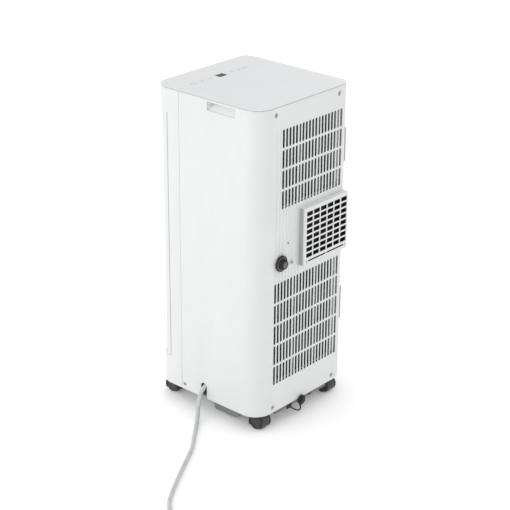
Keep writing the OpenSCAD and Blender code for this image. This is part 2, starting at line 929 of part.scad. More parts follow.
module mid_deck() {
    color(light_grey) at_body() difference() {
        union() {
            intersection() {
                prism(wall + 0.6, deck_z, deck_z + 3);
                block([-half_w, step_y + wall + 0.6, deck_z], [half_w, filter_y0 - 1, deck_z + 3]);
            }
            intersection() {
                prism(recess + wall + 0.6, deck_z, deck_z + 3);
                block([-half_w, -half_d, deck_z], [half_w, step_y + wall + 2, deck_z + 3]);
            }
            // drip tray under the evaporator
            difference() {
                block([-112, coil_back - 30, deck_z], [96, coil_back + 0.6, deck_z + 10]);
                block([-110, coil_back - 28, deck_z + 3], [94, coil_back - 1.4, deck_z + 11]);
            }
        }
        rod_z(6.2, deck_z - 1, deck_z + 4, upper_drain[0], coil_back - 12);
    }
}

module drain_hose() {
    x = upper_drain[0];
    z = upper_drain[1];
    y = coil_back - 12;
    color(light_grey) at_body() difference() {
        union() {
            rod_z(6, z, deck_z + 4, x, y);
            translate([x, y, z]) sphere(6);
            rod_y(11, half_d - 14, half_d + 1.2, x, z);
            rod_y(6, y, half_d - 12, x, z);
        }
        rod_z(4.4, z, deck_z + 5, x, y);
        rod_y(4.4, y, half_d + 2, x, z);
        rod_y(drain_bore_r, half_d - 11, half_d + 2, x, z);
    }
}

module electrical_box() {
    color("#cfd1d2") at_body() difference() {
        block([-128, -96, 180], [-66, 10, 300]);
        block([-126, -94, 182], [-64, 8, 298]);
    }
}

module run_capacitor() {
    color("#d8dadc") at_body() rod_z(16, 182.2, 262, -100, -60);
}

// ---------- small pieces ----------

module upper_drain_plug() {
    x = upper_drain[0];
    z = upper_drain[1];
    color(black) at_body() {
        rod_y(drain_bore_r - 0.05, half_d - 8, half_d + 2, x, z);
        rod_y(plug_r, half_d + 1.5, half_d + 5, x, z);
        rod_y(11.5, half_d + 4.8, half_d + 9.5, x, z);
        rod_y(9, half_d + 9.3, half_d + 13.5, x, z);
    }
}

module lower_drain_plug() {
    x = lower_drain[0];
    z = lower_drain[1];
    color(black) at_body() {
        rod_y(5.95, half_d - 10, half_d + 2, x, z);
        rod_y(10.5, half_d + 1.8, half_d + 5, x, z);
        rod_y(6.5, half_d + 4.8, half_d + 8, x, z);
        // lug that the tether hangs from
        rod_y(2.2, half_d + 1.8, half_d + 5, x + 3.8, z - 10.6);
    }
}

// A tube of n sides swept along a list of points
function unit(v) = v / norm(v);
function away(t) = abs(t[2]) > 0.9 ? [1, 0, 0] : [0, 0, 1];
function tangent(p, i) = unit(p[min(i + 1, len(p) - 1)] - p[max(i - 1, 0)]);
function ring(p, i, r, n) =
    let (t = tangent(p, i), u = unit(cross(away(t), t)), v = cross(t, u))
    [for (k = [0:n - 1]) p[i] + r * (cos(360 * k / n) * u + sin(360 * k / n) * v)];

module tube(p, d, n) {
    last = len(p) - 1;
    points = [for (i = [0:last]) each ring(p, i, d / 2, n)];
    sides = [
        for (i = [0:last - 1], k = [0:n - 1])
            let (a = i * n + k, b = i * n + (k + 1) % n)
            each [[a, b + n, b], [a, a + n, b + n]]
    ];
    faces = concat(
        sides,
        [[for (k = [0:n - 1]) k]],
        [[for (k = [n - 1:-1:0]) last * n + k]]
    );
    polyhedron(points = points, faces = faces, convexity = 8);
}

module plug_tether() {
    color(black) tube(tether_route, tether_d, 8);
}

module pan_head(r, h) {
    cylinder(r = r, h = h * 0.6);
    translate([0, 0, h * 0.6 - 0.01]) cylinder(r1 = r, r2 = r * 0.72, h = h * 0.4);
}

module casing_screws() {
    color("#9a9da0") at_body() {
        for (p = screw_spots)
            translate([p[0], half_d - well_depth + 0.1, p[1]]) rotate([-90, 0, 0]) {
                pan_head(4.4, 2.8);
                translate([0, 0, -9.5]) cylinder(r = 2.1, h = 10);
            }
        translate([40, half_d + 0.1, 357]) rotate([-90, 0, 0]) {
            pan_head(4.8, 2.4);
            translate([0, 0, -9]) cylinder(r = 1.5, h = 9.5);
        }
        for (s = [-1, 1])
            translate([s * (half_w - side_well_depth + 0.1), side_screw[0], side_screw[1]])
                rotate([0, s * 90, 0]) {
                    pan_head(3.9, 2.2);
                    translate([0, 0, -9]) cylinder(r = 2.1, h = 9.5);
                }
    }
}

// ---------- cord ----------

module cord_gland() {
    color(dark) translate([0, gland[1], gland[2]]) difference() {
        union() {
            rod_x(8, 103.5, 111, 0, 0);
            rod_x(9.8, 103.5, 105.8, 0, 0);
            rod_x(9.8, 109.2, 111, 0, 0);
            translate([110.9, 0, 0]) rotate([0, 90, 0]) cylinder(r1 = 8, r2 = 6.2, h = 8.1);
        }
        rod_x(cord_d / 2, 103, 120, 0, 0);
    }
}

module power_cord() {
    color("#c9cbcc") tube(route, cord_d, 10);
}

module cord_coil() {
    half = cord_d * coil_turns_wide / 2;
    color("#c9cbcc") translate([coil_c[0], coil_c[1], 0]) rotate_extrude()
        translate([coil_d / 2 - half, 0]) square([2 * half, cord_d * coil_layers]);
}

module mains_plug() {
    z = cord_d * coil_layers;
    color("#c9cbcc") translate([plug_c[0], plug_c[1], z]) {
        rod_x(plug_body_r, -22, 10, 0, plug_body_r);
        for (y = [-9.5, 9.5])
            rod_x(2.4, 9.5, 29, y, plug_body_r);
    }
}

// ---------- assembly ----------

base_pan();
front_shell();
front_panel();
rear_shell();
top_cover();
display_window();
control_board();
key(0);  // key_1
key(1);  // key_2
key(2);  // key_3
key(3);  // key_4
key(4);  // key_5
key(5);  // key_6
carry_cups();
outlet_frame();
outlet_flap();
flap_motor();
mid_deck();
upper_filter();
upper_filter_mesh();
lower_filter();
lower_filter_mesh();
exhaust_collar();
exhaust_grille();
evaporator_fins();
evaporator_tubes();
condenser_fins();
condenser_tubes();
cold_scroll();
cold_impeller();
cold_motor();
hot_scroll();
hot_impeller();
hot_motor();
slinger_wheel();
slinger_motor();
compressor();
accumulator();
compressor_feet();
refrigerant_lines();
electrical_box();
run_capacitor();
drain_hose();
upper_drain_plug();
lower_drain_plug();
plug_tether();
caster_hood(0);  // caster_hood_1
caster_hood(1);  // caster_hood_2
caster_hood(2);  // caster_hood_3
caster_hood(3);  // caster_hood_4
caster_wheels(0);  // caster_wheels_1
caster_wheels(1);  // caster_wheels_2
caster_wheels(2);  // caster_wheels_3
caster_wheels(3);  // caster_wheels_4
casing_screws();
cord_gland();
power_cord();
cord_coil();
mains_plug();
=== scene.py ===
import json
import math

import bmesh
import bpy
from mathutils import Matrix, Vector

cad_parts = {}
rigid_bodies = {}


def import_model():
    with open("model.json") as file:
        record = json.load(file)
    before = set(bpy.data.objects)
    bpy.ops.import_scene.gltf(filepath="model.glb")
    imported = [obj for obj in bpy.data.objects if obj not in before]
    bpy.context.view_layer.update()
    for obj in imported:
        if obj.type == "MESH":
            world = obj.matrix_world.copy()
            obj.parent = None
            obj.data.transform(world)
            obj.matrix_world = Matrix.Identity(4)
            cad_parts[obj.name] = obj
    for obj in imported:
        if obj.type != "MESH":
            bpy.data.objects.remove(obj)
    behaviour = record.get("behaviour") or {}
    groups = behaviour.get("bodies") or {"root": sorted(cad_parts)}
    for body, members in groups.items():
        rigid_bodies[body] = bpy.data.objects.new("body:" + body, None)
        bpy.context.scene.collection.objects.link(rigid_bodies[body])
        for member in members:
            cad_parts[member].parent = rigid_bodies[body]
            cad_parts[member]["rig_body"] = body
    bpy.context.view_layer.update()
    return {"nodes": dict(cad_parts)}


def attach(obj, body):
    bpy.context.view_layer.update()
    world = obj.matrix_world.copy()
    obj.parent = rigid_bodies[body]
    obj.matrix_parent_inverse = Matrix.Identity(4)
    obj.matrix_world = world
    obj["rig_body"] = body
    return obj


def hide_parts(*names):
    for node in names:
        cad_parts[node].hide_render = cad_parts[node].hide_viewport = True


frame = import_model()
nodes = frame["nodes"]
scene = bpy.context.scene
MM = 0.001
WELD = 1e-6


# ---------- camera ----------

CAMERA_AT = (2.12418, 1.87351, 1.56672)
CAMERA_AZIMUTH = 131.42
CAMERA_ELEVATION = 23.75
CAMERA_ROLL = 0.42
CAMERA_LENS = 105.15
CAMERA_SENSOR = 36
CAMERA_CLIP_END = 50


def place_camera():
    """A camera that looks along its azimuth and elevation, with a slight roll."""
    azimuth = math.radians(CAMERA_AZIMUTH)
    elevation = math.radians(CAMERA_ELEVATION)
    back = Vector((
        math.sin(azimuth) * math.cos(elevation),
        -math.cos(azimuth) * math.cos(elevation),
        math.sin(elevation),
    ))
    right = (-back).cross(Vector((0, 0, 1))).normalized()
    up = right.cross(-back)
    basis = Matrix((right, up, back)).transposed().to_4x4()
    data = bpy.data.cameras.new("camera")
    data.sensor_width = CAMERA_SENSOR
    data.lens = CAMERA_LENS
    data.clip_end = CAMERA_CLIP_END
    camera = bpy.data.objects.new("camera", data)
    turn = Matrix.Rotation(math.radians(CAMERA_ROLL), 4, "Z")
    camera.matrix_world = Matrix.Translation(CAMERA_AT) @ basis @ turn
    scene.collection.objects.link(camera)
    scene.camera = camera


place_camera()


# ---------- materials ----------


def linear(code):
    """An sRGB hex colour as linear red, green, blue and alpha."""
    channels = [int(code[i:i + 2], 16) / 255 for i in (1, 3, 5)]
    return tuple(c / 12.92 if c <= 0.04045 else ((c + 0.055) / 1.055) ** 2.4 for c in channels) + (1,)


def add(tree, kind, settings=None, **links):
    """Adds a node, sets its values and links its sockets; a double underscore stands for a space."""
    node = tree.nodes.new("ShaderNode" + kind)
    for name, value in (settings or {}).items():
        if name in node.inputs:
            node.inputs[name].default_value = value
        else:
            setattr(node, name, value)
    for name, source in links.items():
        tree.links.new(source, node.inputs[name.replace("__", " ")])
    return node


def finish_material(name, **shader):
    """A new material with one Principled shader, with its tree, its shader and object coordinates."""
    material = bpy.data.materials.new(name)
    material.use_nodes = True
    tree = material.node_tree
    principled = tree.nodes["Principled BSDF"]
    for key, value in shader.items():
        principled.inputs[key.replace("_", " ")].default_value = value
    place = add(tree, "TexCoord").outputs["Object"]
    return material, tree, principled, place


def ramp(tree, source, stops):
    """A colour ramp over a value, from (place, colour) stops."""
    node = add(tree, "ValToRGB", Fac=source)
    elements = node.color_ramp.elements
    while len(elements) < len(stops):
        elements.new(0.5)
    for element, (place, colour) in zip(elements, stops):
        element.position = place
        element.color = colour
    return node.outputs["Color"]


PLASTIC_IOR = 1.5
CLOUD_MM = 90


def per_metre(size_mm):
    """The scale of a pattern whose cells are so many millimetres wide."""
    return 1000 / size_mm


def moulded(name, colour, shade, roughness, grain_mm, depth, coat=0.0):
    """Moulded plastic: faint large clouding in colour and sheen, and a fine spark-eroded grain."""
    material, tree, shader, place = finish_material(
        name, Roughness=roughness, IOR=PLASTIC_IOR, Coat_Weight=coat, Coat_Roughness=0.25
    )
    cloud = add(
        tree, "TexNoise", {"Scale": per_metre(CLOUD_MM), "Detail": 4.0, "Roughness": 0.55}, Vector=place
    )
    tint = ramp(tree, cloud.outputs["Fac"], [(0.35, linear(shade)), (0.65, linear(colour))])
    tree.links.new(tint, shader.inputs["Base Color"])
    sheen = add(
        tree, "MapRange",
        {"From Min": 0.3, "From Max": 0.7, "To Min": roughness - 0.05, "To Max": roughness + 0.06},
        Value=cloud.outputs["Fac"],
    )
    tree.links.new(sheen.outputs["Result"], shader.inputs["Roughness"])
    grain = add(
        tree, "TexNoise", {"Scale": per_metre(grain_mm), "Detail": 3.0, "Roughness": 0.6}, Vector=place
    )
    bump = add(tree, "Bump", {"Strength": 0.35, "Distance": depth * MM}, Height=grain.outputs["Fac"])
    tree.links.new(bump.outputs["Normal"], shader.inputs["Normal"])
    return material


# ABS moulded in a spark-eroded tool: an even, slightly satin white with a very fine grain.
white_abs = moulded("white_abs", "#dedfdf", "#dbdcdc", 0.42, 1.6, 0.10)
# The same ABS in a paler grey, for the cover, the back and what belongs to them.
pale_grey_abs = moulded("pale_grey_abs", "#dfe0e1", "#dcddde", 0.45, 1.6, 0.10)
# Polypropylene moulded in mid grey for the pan that the machine stands on.
grey_pp = moulded("grey_pp", "#7c7e80", "#747678", 0.5, 1.8, 0.12)
# Black polypropylene, a little brighter where it is polished by handling.
dark_pp = moulded("dark_pp", "#3b3c3e", "#333436", 0.42, 1.4, 0.10)
# Soft black rubber: matt, with a fine sandy skin.
black_rubber = moulded("black_rubber", "#232324", "#1c1c1d", 0.68, 0.9, 0.12)
# The same rubber in a lighter grey.
lighter_grey_rubber = moulded("lighter_grey_rubber", "#68696b", "#5d5e60", 0.6, 0.9, 0.12)
# Grey polyurethane tread: matt and slightly lighter than the wheel's disc.
wheel_tread = moulded("wheel_tread", "#5a5b5d", "#505153", 0.6, 1.2, 0.10)
# Pull tabs in a darker grey: painted shade of the tabs, which stand out from the casing's corners.
tab_shade_grey = moulded("tab_shade_grey", "#929496", "#8a8c8e", 0.5, 1.5, 0.10)
# Matt black for painted shade: behind the outlet's grid, in the hoods' joints, at the bottoms of screw
# recesses and in the hole beside the outlet.
painted_shade_black = moulded("painted_shade_black", "#0b0b0c", "#070708", 0.9, 1.0, 0.10)
# Matt grey: painted shade in the strips beside the casing's joints and the front panel's edges; also the
# pan's rim along the back.
shade_strip_and_rim_grey = moulded("shade_strip_and_rim_grey", "#77797b", "#6f7173", 0.8, 1.2, 0.10)
# Expanded foam ducts: dark grey and open-celled.
duct_foam = moulded("duct_foam", "#63666a", "#54575b", 0.8, 3.2, 0.5)
# Grey plastic of the electrical box.
box_plastic = moulded("box_plastic", "#c6c8c9", "#bdbfc1", 0.5, 1.5, 0.10)
# Satin black paint over a pressed steel shell, faintly orange-peeled.
compressor_paint = moulded("compressor_paint", "#1d1d1f", "#161618", 0.35, 2.6, 0.08, coat=0.3)


MARK_MM = 0.8


def bare_metal(name, colour, shade, roughness, stretch):
    """Bare metal with fine drawn marks; stretch gives how much longer they are along each axis."""
    material, tree, shader, place = finish_material(name, Metallic=1.0, Roughness=roughness)
    lines = add(tree, "Mapping", {"Scale": tuple(per_metre(MARK_MM * s) for s in stretch)}, Vector=place)
    marks = add(
        tree, "TexNoise", {"Scale": 1.0, "Detail": 3.0, "Roughness": 0.6}, Vector=lines.outputs["Vector"]
    )
    tree.links.new(ramp(tree, marks.outputs["Fac"], [(0.3, linear(shade)), (0.7, linear(colour))]),
                   shader.inputs["Base Color"])
    spread = add(tree, "MapRange", {"To Min": roughness - 0.08, "To Max": roughness + 0.1},
                 Value=marks.outputs["Fac"])
    tree.links.new(spread.outputs["Result"], shader.inputs["Roughness"])
    bump = add(tree, "Bump", {"Strength": 0.2, "Distance": 0.05 * MM}, Height=marks.outputs["Fac"])
    tree.links.new(bump.outputs["Normal"], shader.inputs["Normal"])
    return material


# Zinc-plated screws, pressed steel motor cans, drawn copper and aluminium.
zinc_screw = bare_metal("zinc_screw", "#d4d6d8", "#b2b5b8", 0.5, (1, 1, 1))
motor_steel = bare_metal("motor_steel", "#b4b7ba", "#93969a", 0.36, (1, 1, 8))
copper_tube = bare_metal("copper_tube", "#c98561", "#a8623f", 0.3, (8, 1, 1))
plated_brass = bare_metal("plated_brass", "#d6d5d0", "#bfbdb6", 0.25, (8, 1, 1))
capacitor_case = bare_metal("capacitor_case", "#d3d5d7", "#b6b8bb", 0.32, (1, 1, 8))


def wave_scale(radian_mm):
    """A wave texture turns 20 radians in each unit, so its bands lie 2 pi times this length apart."""
    return per_metre(radian_mm) / 20


def fin_stack(name, radian_mm):
    """Thin aluminium fins set edge on: bright edges with painted shade in the gaps between them."""
    material, tree, shader, place = finish_material(name, Metallic=1.0, Roughness=0.45)
    fins = add(tree, "TexWave", {"Scale": wave_scale(radian_mm), "bands_direction": "X"}, Vector=place)
    tree.links.new(ramp(tree, fins.outputs["Fac"], [(0.25, linear("#2a2c2e")), (0.7, linear("#c9ccce"))]),
                   shader.inputs["Base Color"])
    bump = add(tree, "Bump", {"Strength": 0.6, "Distance": 0.5 * MM}, Height=fins.outputs["Fac"])
    tree.links.new(bump.outputs["Normal"], shader.inputs["Normal"])
    return material


# Fin stacks whose real fins are about 1.6 mm apart: the bands drawn here are about 20 mm apart.
fin_aluminium = fin_stack("fin_aluminium", 3.2)


def woven_net(name, radian_mm):
    """Nylon net: crossing threads with painted shade in the holes between them."""
    material, tree, shader, place = finish_material(name, Roughness=0.6)
    up = add(tree, "TexWave", {"Scale": wave_scale(radian_mm), "bands_direction": "Z"}, Vector=place)
    across = add(tree, "TexWave", {"Scale": wave_scale(radian_mm), "bands_direction": "X"}, Vector=place)
    both = add(tree, "Math", {"operation": "MAXIMUM"})
    tree.links.new(up.outputs["Fac"], both.inputs[0])
    tree.links.new(across.outputs["Fac"], both.inputs[1])
    tree.links.new(ramp(tree, both.outputs["Value"], [(0.55, linear("#0c0d0e")), (0.9, linear("#303234"))]),
                   shader.inputs["Base Color"])
    bump = add(tree, "Bump", {"Strength": 0.6, "Distance": 0.3 * MM}, Height=both.outputs["Value"])
    tree.links.new(bump.outputs["Normal"], shader.inputs["Normal"])
    return material


# Filter net whose real threads are about 1.2 mm apart: the bands drawn here are about 13 mm apart.
filter_net = woven_net("filter_net", 2.0)


def circuit_board(name):
    """Green solder-masked laminate with a faint pattern of tracks."""
    material, tree, shader, place = finish_material(name, Roughness=0.35, Coat_Weight=0.4)
    tracks = add(tree, "TexBrick", {
        "Scale": 90.0, "Mortar Size": 0.05, "Color1": linear("#2c6b48"), "Color2": linear("#28633f"),
        "Mortar": linear("#3c8a5c"),
    }, Vector=place)
    tree.links.new(tracks.outputs["Color"], shader.inputs["Base Color"])
    return material


circuit_laminate = circuit_board("circuit_laminate")


def smoked_window(name):
    """Black acrylic, polished, with a faint haze of handling over it."""
    material, tree, shader, place = finish_material(name, Roughness=0.2, IOR=1.25)
    haze = add(tree, "TexNoise", {"Scale": 160.0, "Detail": 3.0}, Vector=place)
    tree.links.new(ramp(tree, haze.outputs["Fac"], [(0.3, linear("#0d0e10")), (0.7, linear("#17181b"))]),
                   shader.inputs["Base Color"])
    spread = add(tree, "MapRange", {"To Min": 0.16, "To Max": 0.3}, Value=haze.outputs["Fac"])
    tree.links.new(spread.outputs["Result"], shader.inputs["Roughness"])
    return material


smoked_acrylic = smoked_window("smoked_acrylic")
# Printed icons: a pale grey pad-printed ink, slightly uneven.
icon_ink = moulded("icon_ink", "#a9abac", "#9d9fa1", 0.5, 0.8, 0.02)
# Inside of the hand holds: the casing's ABS a little brighter, as painted light in the shaded cups.
painted_light_abs = moulded("painted_light_abs", "#f4f5f5", "#f0f1f1", 0.35, 2.0, 0.05)
# Grey for painted shade on the surround's side walls, where the hose's adapter presses on.
surround_shade_grey = moulded("surround_shade_grey", "#adafb1", "#a3a5a7", 0.85, 1.8, 0.25)


def cord_jacket(name):
    """Soft PVC jacket: satin, with lighter and darker streaks that run along the cord."""
    material, tree, shader, place = finish_material(name, Roughness=0.38, IOR=1.53, Coat_Weight=0.15)
    along = add(tree, "Mapping", {"Scale": (60.0, 60.0, 160.0)}, Vector=place)
    streak = add(tree, "TexNoise", {"Scale": 1.0, "Detail": 5.0, "Distortion": 0.6},
                 Vector=along.outputs["Vector"])
    tree.links.new(
        ramp(tree, streak.outputs["Fac"],
             [(0.3, linear("#b6b8ba")), (0.5, linear("#bfc1c3")), (0.72, linear("#c9cacc"))]),
        shader.inputs["Base Color"])
    skin = add(tree, "TexNoise", {"Scale": 900.0, "Detail": 2.0}, Vector=place)
    bump = add(tree, "Bump", {"Strength": 0.25, "Distance": 0.1 * MM}, Height=skin.outputs["Fac"])
    tree.links.new(bump.outputs["Normal"], shader.inputs["Normal"])
    return material


cord_pvc = cord_jacket("cord_pvc")


# ---------- making pieces ----------


SHARP_DEG = 35
HARD_EDGE_DEG = 28
EASED_SEGMENTS = 2


def piece(name, bm, body, material, replaced=(), sharp=SHARP_DEG):
    """Turns a bmesh in metres into a named piece that rides on a body."""
    bmesh.ops.remove_doubles(bm, verts=bm.verts, dist=WELD)
    mesh = bpy.data.meshes.new(name)
    bm.to_mesh(mesh)
    bm.free()
    mesh.shade_smooth()
    mesh.set_sharp_from_angle(angle=math.radians(sharp))
    mesh.materials.append(material)
    obj = bpy.data.objects.new(name, mesh)
    scene.collection.objects.link(obj)
    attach(obj, body)
    if replaced:
        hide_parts(*replaced)
    return obj


def body_of(node):
    """The body that a CAD node belongs to."""
    return nodes[node]["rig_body"]


def round_edges(bm, edges, width_mm, segments, clamp=True):
    """Rounds edges by a width; clamp keeps the roundings from running past each other."""
    bmesh.ops.bevel(
        bm, geom=edges, offset=width_mm * MM, offset_type="OFFSET", segments=segments,
        profile=0.5, affect="EDGES", material=-1, clamp_overlap=clamp,
    )


def eased(node, name, material, width_mm, sharp=SHARP_DEG):
    """The CAD node's own shape with its hard edges rounded."""
    bm = bmesh.new()
    bm.from_mesh(nodes[node].data)
    bmesh.ops.remove_doubles(bm, verts=bm.verts, dist=2 * WELD)
    bmesh.ops.dissolve_limit(
        bm, angle_limit=math.radians(0.5), verts=bm.verts, edges=bm.edges, delimit={"NORMAL"}
    )
    hard = [
        e for e in bm.edges
        if len(e.link_faces) == 2 and e.calc_face_angle(0) > math.radians(HARD_EDGE_DEG)
    ]
    round_edges(bm, hard, width_mm, EASED_SEGMENTS)
    return piece(name, bm, body_of(node), material, [node], sharp)


def cad_finish(material, *names):
    """Gives CAD nodes that keep their shape a better material."""
    for name in names:
        mesh = nodes[name].data
        mesh.materials.clear()
        mesh.materials.append(material)


def turned(profile_mm, steps=48, axis="Z"):
    """A closed body of revolution from (radius, height) points, with its heights along an axis."""
    bm = bmesh.new()
    verts = [bm.verts.new((r * MM, 0, z * MM)) for r, z in profile_mm]
    for a, b in zip(verts, verts[1:]):
        bm.edges.new((a, b))
    bmesh.ops.spin(
        bm, geom=bm.verts[:] + bm.edges[:], cent=(0, 0, 0), axis=(0, 0, 1),
        angle=2 * math.pi, steps=steps, use_merge=True,
    )
    bmesh.ops.remove_doubles(bm, verts=bm.verts, dist=WELD)
    bmesh.ops.recalc_face_normals(bm, faces=bm.faces)
    if axis == "X":
        bmesh.ops.transform(bm, matrix=Matrix.Rotation(math.radians(90), 4, "Y"), verts=bm.verts)
    elif axis == "Y":
        bmesh.ops.transform(bm, matrix=Matrix.Rotation(math.radians(-90), 4, "X"), verts=bm.verts)
    return bm


def move(bm, x_mm, y_mm, z_mm):
    """Moves a whole bmesh, and hands it back."""
    bmesh.ops.translate(bm, vec=(x_mm * MM, y_mm * MM, z_mm * MM), verts=bm.verts)
    return bm


def box_between(bm, low_mm, high_mm):
    """Adds a block between two corners."""
    size = [(b - a) * MM for a, b in zip(low_mm, high_mm)]
    middle = [(a + b) / 2 * MM for a, b in zip(low_mm, high_mm)]
    bmesh.ops.create_cube(bm, size=1.0, matrix=Matrix.Translation(middle) @ Matrix.Diagonal((*size, 1)))


def merge(target, other):
    """Adds another bmesh to the first, and frees it."""
    mesh = bpy.data.meshes.new("part")
    other.to_mesh(mesh)
    other.free()
    target.from_mesh(mesh)
    bpy.data.meshes.remove(mesh)
    return target


# ---------- cord ----------

CORD_D = 9.0
FLOOR_Z = 4.6
GLAND = (119, -15.5, 66)
COIL_AT = (522.0, 283.0)
COIL_R_OUT = 52.5
COIL_R_IN = 43.5
COIL_STEPS = 20
COIL_POINTS = 77
RISE_TO_PLUG = 7
LEAD_R = 38
LEAD_STEPS = 8
PLUG_TAIL_Z = 36
ROUTE = [
    (119, -15.5, 66), (126.6, -15.5, 65.3), (133.9, -15.5, 63.1), (140.7, -15.5, 59.6),
    (146.7, -15.5, 54.9), (151.6, -15.4, 49.1), (155.4, -14.8, 42.5), (157.8, -14.2, 35.3),
    (160, -13.2, 28.1), (163.3, -11.3, 21.5), (167.3, -8.3, 15.7), (172, -4.6, 11),
    (177.3, -0.3, 7.5), (183, 4.2, 5.3), (188.9, 9, 4.6), (204.3, 21.2, 4.6),
    (219.7, 33.4, 4.6), (235.2, 45.6, 4.6), (250.6, 57.8, 4.6),
    (266, 70, 4.6), (284, 81.5, 4.6),
    (304, 92.5, 4.6), (324, 104, 4.6), (346, 116.5, 4.6), (368, 129.5, 4.6),
    (390, 142.5, 4.6), (410, 155, 4.6), (430, 168.5, 4.6), (446, 181, 4.6),
    (458, 195.5, 4.6), (466.5, 212, 4.6), (470.5, 230, 4.6), (471, 247, 4.6),
    (470.4, 263, 4.6),
]


def ease(t):
    """Goes from 0 to 1 with no jerk at either end."""
    t = min(max(t, 0), 1)
    return t * t * (3 - 2 * t)


def coil_point(turn):
    """A point of the coil, in turns from its start at the ring's -X side, going clockwise."""
    # the first turn ends by moving in, the second by climbing a layer, the third by moving out again
    radius = COIL_R_OUT
    radius += (COIL_R_IN - COIL_R_OUT) * (ease((turn - 0.8) / 0.2) - ease((turn - 2.8) / 0.2))
    lift = CORD_D * ease((turn - 1.75) / 0.25) + RISE_TO_PLUG * ease((turn - 3.6) / 0.26)
    angle = math.pi - 2 * math.pi * turn
    return (
        COIL_AT[0] + radius * math.cos(angle), COIL_AT[1] + radius * math.sin(angle), FLOOR_Z + lift
    )


def coil_path():
    """The coil's points, and the lead from its last turn to the plug."""
    points = [coil_point(i / COIL_STEPS) for i in range(1, COIL_POINTS + 1)]
    # the lead comes off the last turn, curls inwards and climbs into the plug's tail
    x, y, z = points[-1]
    angle = math.pi - 2 * math.pi * COIL_POINTS / COIL_STEPS
    heading = Vector((math.sin(angle), -math.cos(angle), 0))
    centre = Vector((x, y, 0)) + LEAD_R * Vector((heading.y, -heading.x, 0))
    start = math.atan2(y - centre.y, x - centre.x)
    sweep = start - math.pi / 2 if start > 0 else start + 1.5 * math.pi
    for i in range(1, LEAD_STEPS + 1):
        a = start - sweep * i / LEAD_STEPS
        points.append((
            centre.x + LEAD_R * math.cos(a), centre.y + LEAD_R * math.sin(a),
            z + (PLUG_TAIL_Z - z) * ease(i / LEAD_STEPS),
        ))
    return points


def tube_curve(name, points_mm, diameter_mm, material, body):
    """A round curve through points, as one open spline."""
    curve = bpy.data.curves.new(name, "CURVE")
    curve.dimensions = "3D"
    curve.bevel_depth = diameter_mm / 2 * MM
    curve.bevel_resolution = 4
    curve.resolution_u = 3
    curve.use_fill_caps = True
    spline = curve.splines.new("NURBS")
    spline.points.add(len(points_mm) - 1)
    for point, (x, y, z) in zip(spline.points, points_mm):
        point.co = (x * MM, y * MM, z * MM, 1)
    spline.order_u = 4
    spline.use_endpoint_u = True
    curve.materials.append(material)
    obj = bpy.data.objects.new(name, curve)
    scene.collection.objects.link(obj)
    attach(obj, body)
    return obj


lead = coil_path()
cord = tube_curve("mains_cord", ROUTE + lead, CORD_D, cord_pvc, "casing")
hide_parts("power_cord", "cord_coil")
PLUG_TAIL = Vector(lead[-1])


SLEEVE_BACK = 15.5
SLEEVE_BEND_R = 60


def strain_relief():
    """The gland's flange and a ribbed sleeve that tapers off along the cord."""
    bm = turned([
        (4.5, 0), (9.8, 0), (9.8, 2.4), (8.0, 2.5), (8.0, 5.7), (9.8, 5.8), (9.8, 7.8), (8.2, 8.4),
        (8.0, 11.5), (6.9, 11.6), (6.9, 12.6), (7.8, 12.7), (7.6, 14.5), (6.6, 14.6), (6.6, 15.6),
        (7.4, 15.7), (7.2, 17.5), (6.3, 17.6), (6.3, 18.6), (7.0, 18.7), (6.8, 20.5), (6.0, 20.6),
        (6.0, 21.6), (6.6, 21.7), (6.3, 23.5), (5.6, 23.6), (5.6, 24.6), (6.0, 24.7), (5.6, 27.2),
        (4.5, 27.4), (4.5, 0),
    ], steps=32, axis="X")
    move(bm, GLAND[0] - SLEEVE_BACK, GLAND[1], GLAND[2])
    # its end follows the cord as it starts to drop
    for vert in bm.verts:
        past = max(vert.co.x - GLAND[0] * MM, 0)
        vert.co.z -= past * past / (2 * SLEEVE_BEND_R * MM)
    return piece("strain_relief", bm, "casing", dark_pp, ["cord_gland"])


PLUG_FLAT = 14.2
GRIP_LOW = 13.6
GRIP_HIGH = 15.2
PIN_SPACING = 19


def mains_plug():
    """A round plug with finger grips, a tail that hugs the cord, and two brass pins."""
    body = turned([
        (4.4, -14), (5.6, -14), (6.0, -9), (5.4, -8.8), (5.4, -7.6), (6.5, -7.4), (7.2, -4), (6.6, -3.8),
        (6.6, -2.6), (8.2, -2.2), (11, 1), (14.5, 5), (16.8, 9), (17.8, 14), (18, 20), (18, 29.5),
        (17.5, 31), (16.2, 31.8), (0, 31.8), (0, -13), (4.4, -14),
    ], steps=48, axis="X")
    # flats where finger and thumb take hold
    for side in (-1, 1):
        for vert in body.verts:
            if vert.co.z * side > PLUG_FLAT * MM and 8 * MM < vert.co.x < 28 * MM:
                vert.co.z = side * (PLUG_FLAT * MM + 0.2 * (vert.co.z * side - PLUG_FLAT * MM))
    for side in (-1, 1):
        low, high = sorted((side * GRIP_LOW, side * GRIP_HIGH))
        for i in range(5):
            x = 11 + 3.4 * i
            box_between(body, (x, -8, low), (x + 1.5, 8, high))
    shift = (PLUG_TAIL.x + 10, PLUG_TAIL.y, PLUG_TAIL.z)
    housing = piece("plug_housing", move(body, *shift), "casing", cord_pvc)
    pins = bmesh.new()
    for y in (-PIN_SPACING / 2, PIN_SPACING / 2):
        pin = turned([
            (0, 31), (2.4, 31), (2.4, 41), (2.0, 41.2), (2.0, 41.8), (2.4, 42), (2.4, 49), (1.6, 51),
            (0, 51.4),
        ], steps=20, axis="X")
        merge(pins, move(pin, 0, y, 0))
    metal = piece("plug_pins", move(pins, *shift), "casing", plated_brass, ["mains_plug"])
    return housing, metal


TIE_HALF_WIDTH = 6


